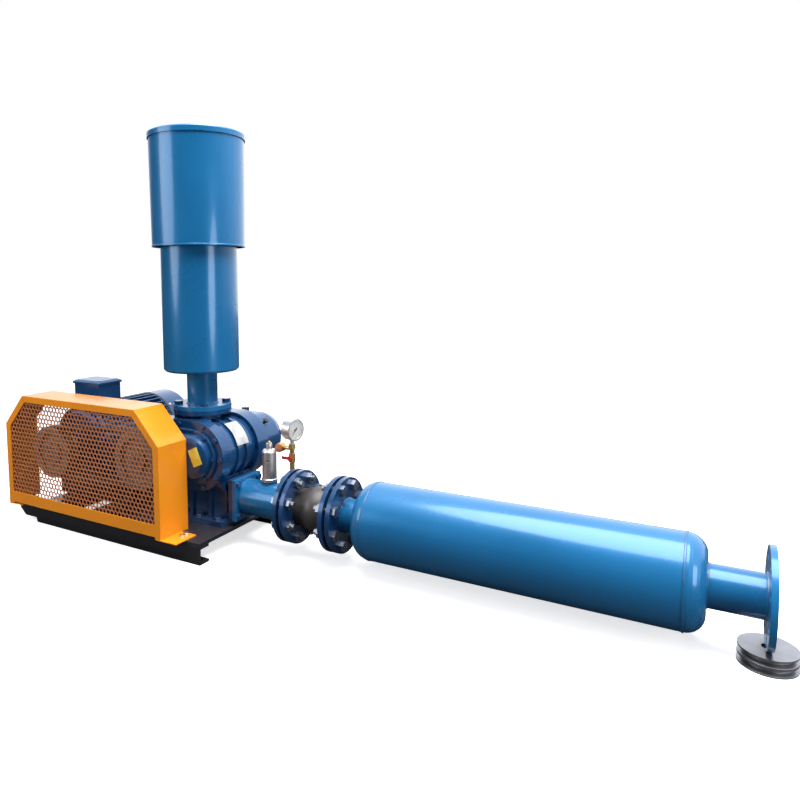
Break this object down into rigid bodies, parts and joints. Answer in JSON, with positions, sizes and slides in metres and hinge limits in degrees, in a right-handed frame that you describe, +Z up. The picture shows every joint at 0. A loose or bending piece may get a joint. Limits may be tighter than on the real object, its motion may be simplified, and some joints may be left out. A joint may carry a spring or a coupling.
{
  "type": "roots blower",
  "caption": "Belt-driven three-lobe rotary air blower on a base frame with motor, belt guard, inlet filter silencer, relief valve, gauge, rubber joint and outlet silencer",
  "frame": {"origin": "on the floor under the centre of the blower's inlet silencer", "axes": "+X along the discharge line away from the blower, +Y along the shafts away from the belt guard, +Z up"},
  "size_m": [2.085, 0.534, 1.178],
  "materials": {
    "base_black": "gloss black paint",
    "plate_blue_black": "dusty dark paint",
    "guard_orange": "gloss orange paint",
    "machine_blue": "gloss blue paint",
    "dark_blue": "gloss dark blue paint",
    "steel": "bright turned steel",
    "cast": "machined grey iron",
    "rubber": "black moulded rubber",
    "brass": "plain brass",
    "plastic_black": "black moulded plastic",
    "signal_red": "red grip",
    "filter_media": "pleated felt",
    "gauge_chrome": "polished case"
  },
  "bodies": {
    "frame_and_casing": {"front_rail": "base_black", "rear_rail": "base_black", "cross_members": "base_black", "blower_plate": "plate_blue_black", "motor_slide_rails": "base_black", "belt_guard": "guard_orange", "guard_mesh": "guard_orange", "guard_bolts": "steel", "motor_frame": "machine_blue", "motor_end_shields": "machine_blue", "motor_bearings": "steel", "fan_cover": "machine_blue", "terminal_box": "machine_blue", "terminal_lid": "machine_blue", "cable_gland": "plastic_black", "motor_stator": "cast", "motor_feet_bolts": "steel", "v_belts": "rubber", "discharge_box": "dark_blue", "blower_casing": "machine_blue", "drive_end_plate": "machine_blue", "drive_end_cover": "machine_blue", "gear_end_plate": "machine_blue", "gear_case": "machine_blue", "shaft_bearings": "steel", "shaft_seals": "rubber", "casing_bolts": "steel", "oil_sight_glass": "brass", "breather_plug": "plastic_black", "inlet_body": "machine_blue", "inlet_filter": "filter_media", "inlet_hood": "machine_blue", "hood_lid": "machine_blue", "inlet_bolts": "steel", "discharge_spool": "machine_blue", "box_bolts": "steel", "rubber_joint": "rubber", "joint_flanges": "dark_blue", "flange_bolts": "steel", "outlet_silencer": "machine_blue", "outlet_core": "cast", "prop_pulley": "cast", "relief_body": "gauge_chrome", "relief_spring": "steel", "gauge_case": "gauge_chrome", "gauge_cock": "brass"},
    "drive_rotor_set": {"drive_shaft": "steel", "drive_rotor": "cast", "drive_gear": "steel", "blower_pulley": "cast"},
    "driven_rotor_set": {"driven_shaft": "steel", "driven_rotor": "cast", "driven_gear": "steel"},
    "motor_rotor_set": {"motor_shaft": "steel", "motor_rotor": "cast", "cooling_fan": "plastic_black", "motor_pulley": "cast"},
    "relief_valve_disc": {"relief_disc": "brass"},
    "gauge_pointer": {"gauge_needle": "plastic_black"},
    "cock_lever": {"cock_handle": "signal_red"}
  },
  "joints": [
    {"name": "drive_shaft_spin", "type": "hinge", "parent": "frame_and_casing", "child": "drive_rotor_set", "pos_m": [-0.058, 0, 0.26163], "axis": [0, 1, 0], "continuous": true},
    {"name": "driven_shaft_spin", "type": "hinge", "parent": "frame_and_casing", "child": "driven_rotor_set", "pos_m": [0.058, 0, 0.26163], "axis": [0, 1, 0], "continuous": true},
    {"name": "motor_shaft_spin", "type": "hinge", "parent": "frame_and_casing", "child": "motor_rotor_set", "pos_m": [-0.42, 0, 0.24], "axis": [0, 1, 0], "continuous": true},
    {"name": "relief_lift", "type": "slide", "parent": "frame_and_casing", "child": "relief_valve_disc", "axis": [0, 0, 1], "range_m": [0, 0.008], "stiffness_N_per_m": 900, "springref_m": -0.002, "deforming": ["relief_spring"]},
    {"name": "pointer_turn", "type": "hinge", "parent": "frame_and_casing", "child": "gauge_pointer", "pos_m": [0.297, 0.032, 0.339], "axis": [-0.9781, 0.2079, 0], "range_deg": [0, 270]},
    {"name": "cock_turn", "type": "hinge", "parent": "frame_and_casing", "child": "cock_lever", "pos_m": [0.297, 0.02, 0.258], "axis": [0, 1, 0], "range_deg": [0, 90]}
  ],
  "couplings": [
    {"joint": "driven_shaft_spin", "follows": "drive_shaft_spin", "ratio": -1},
    {"joint": "motor_shaft_spin", "follows": "drive_shaft_spin", "ratio": 1.0667}
  ]
}
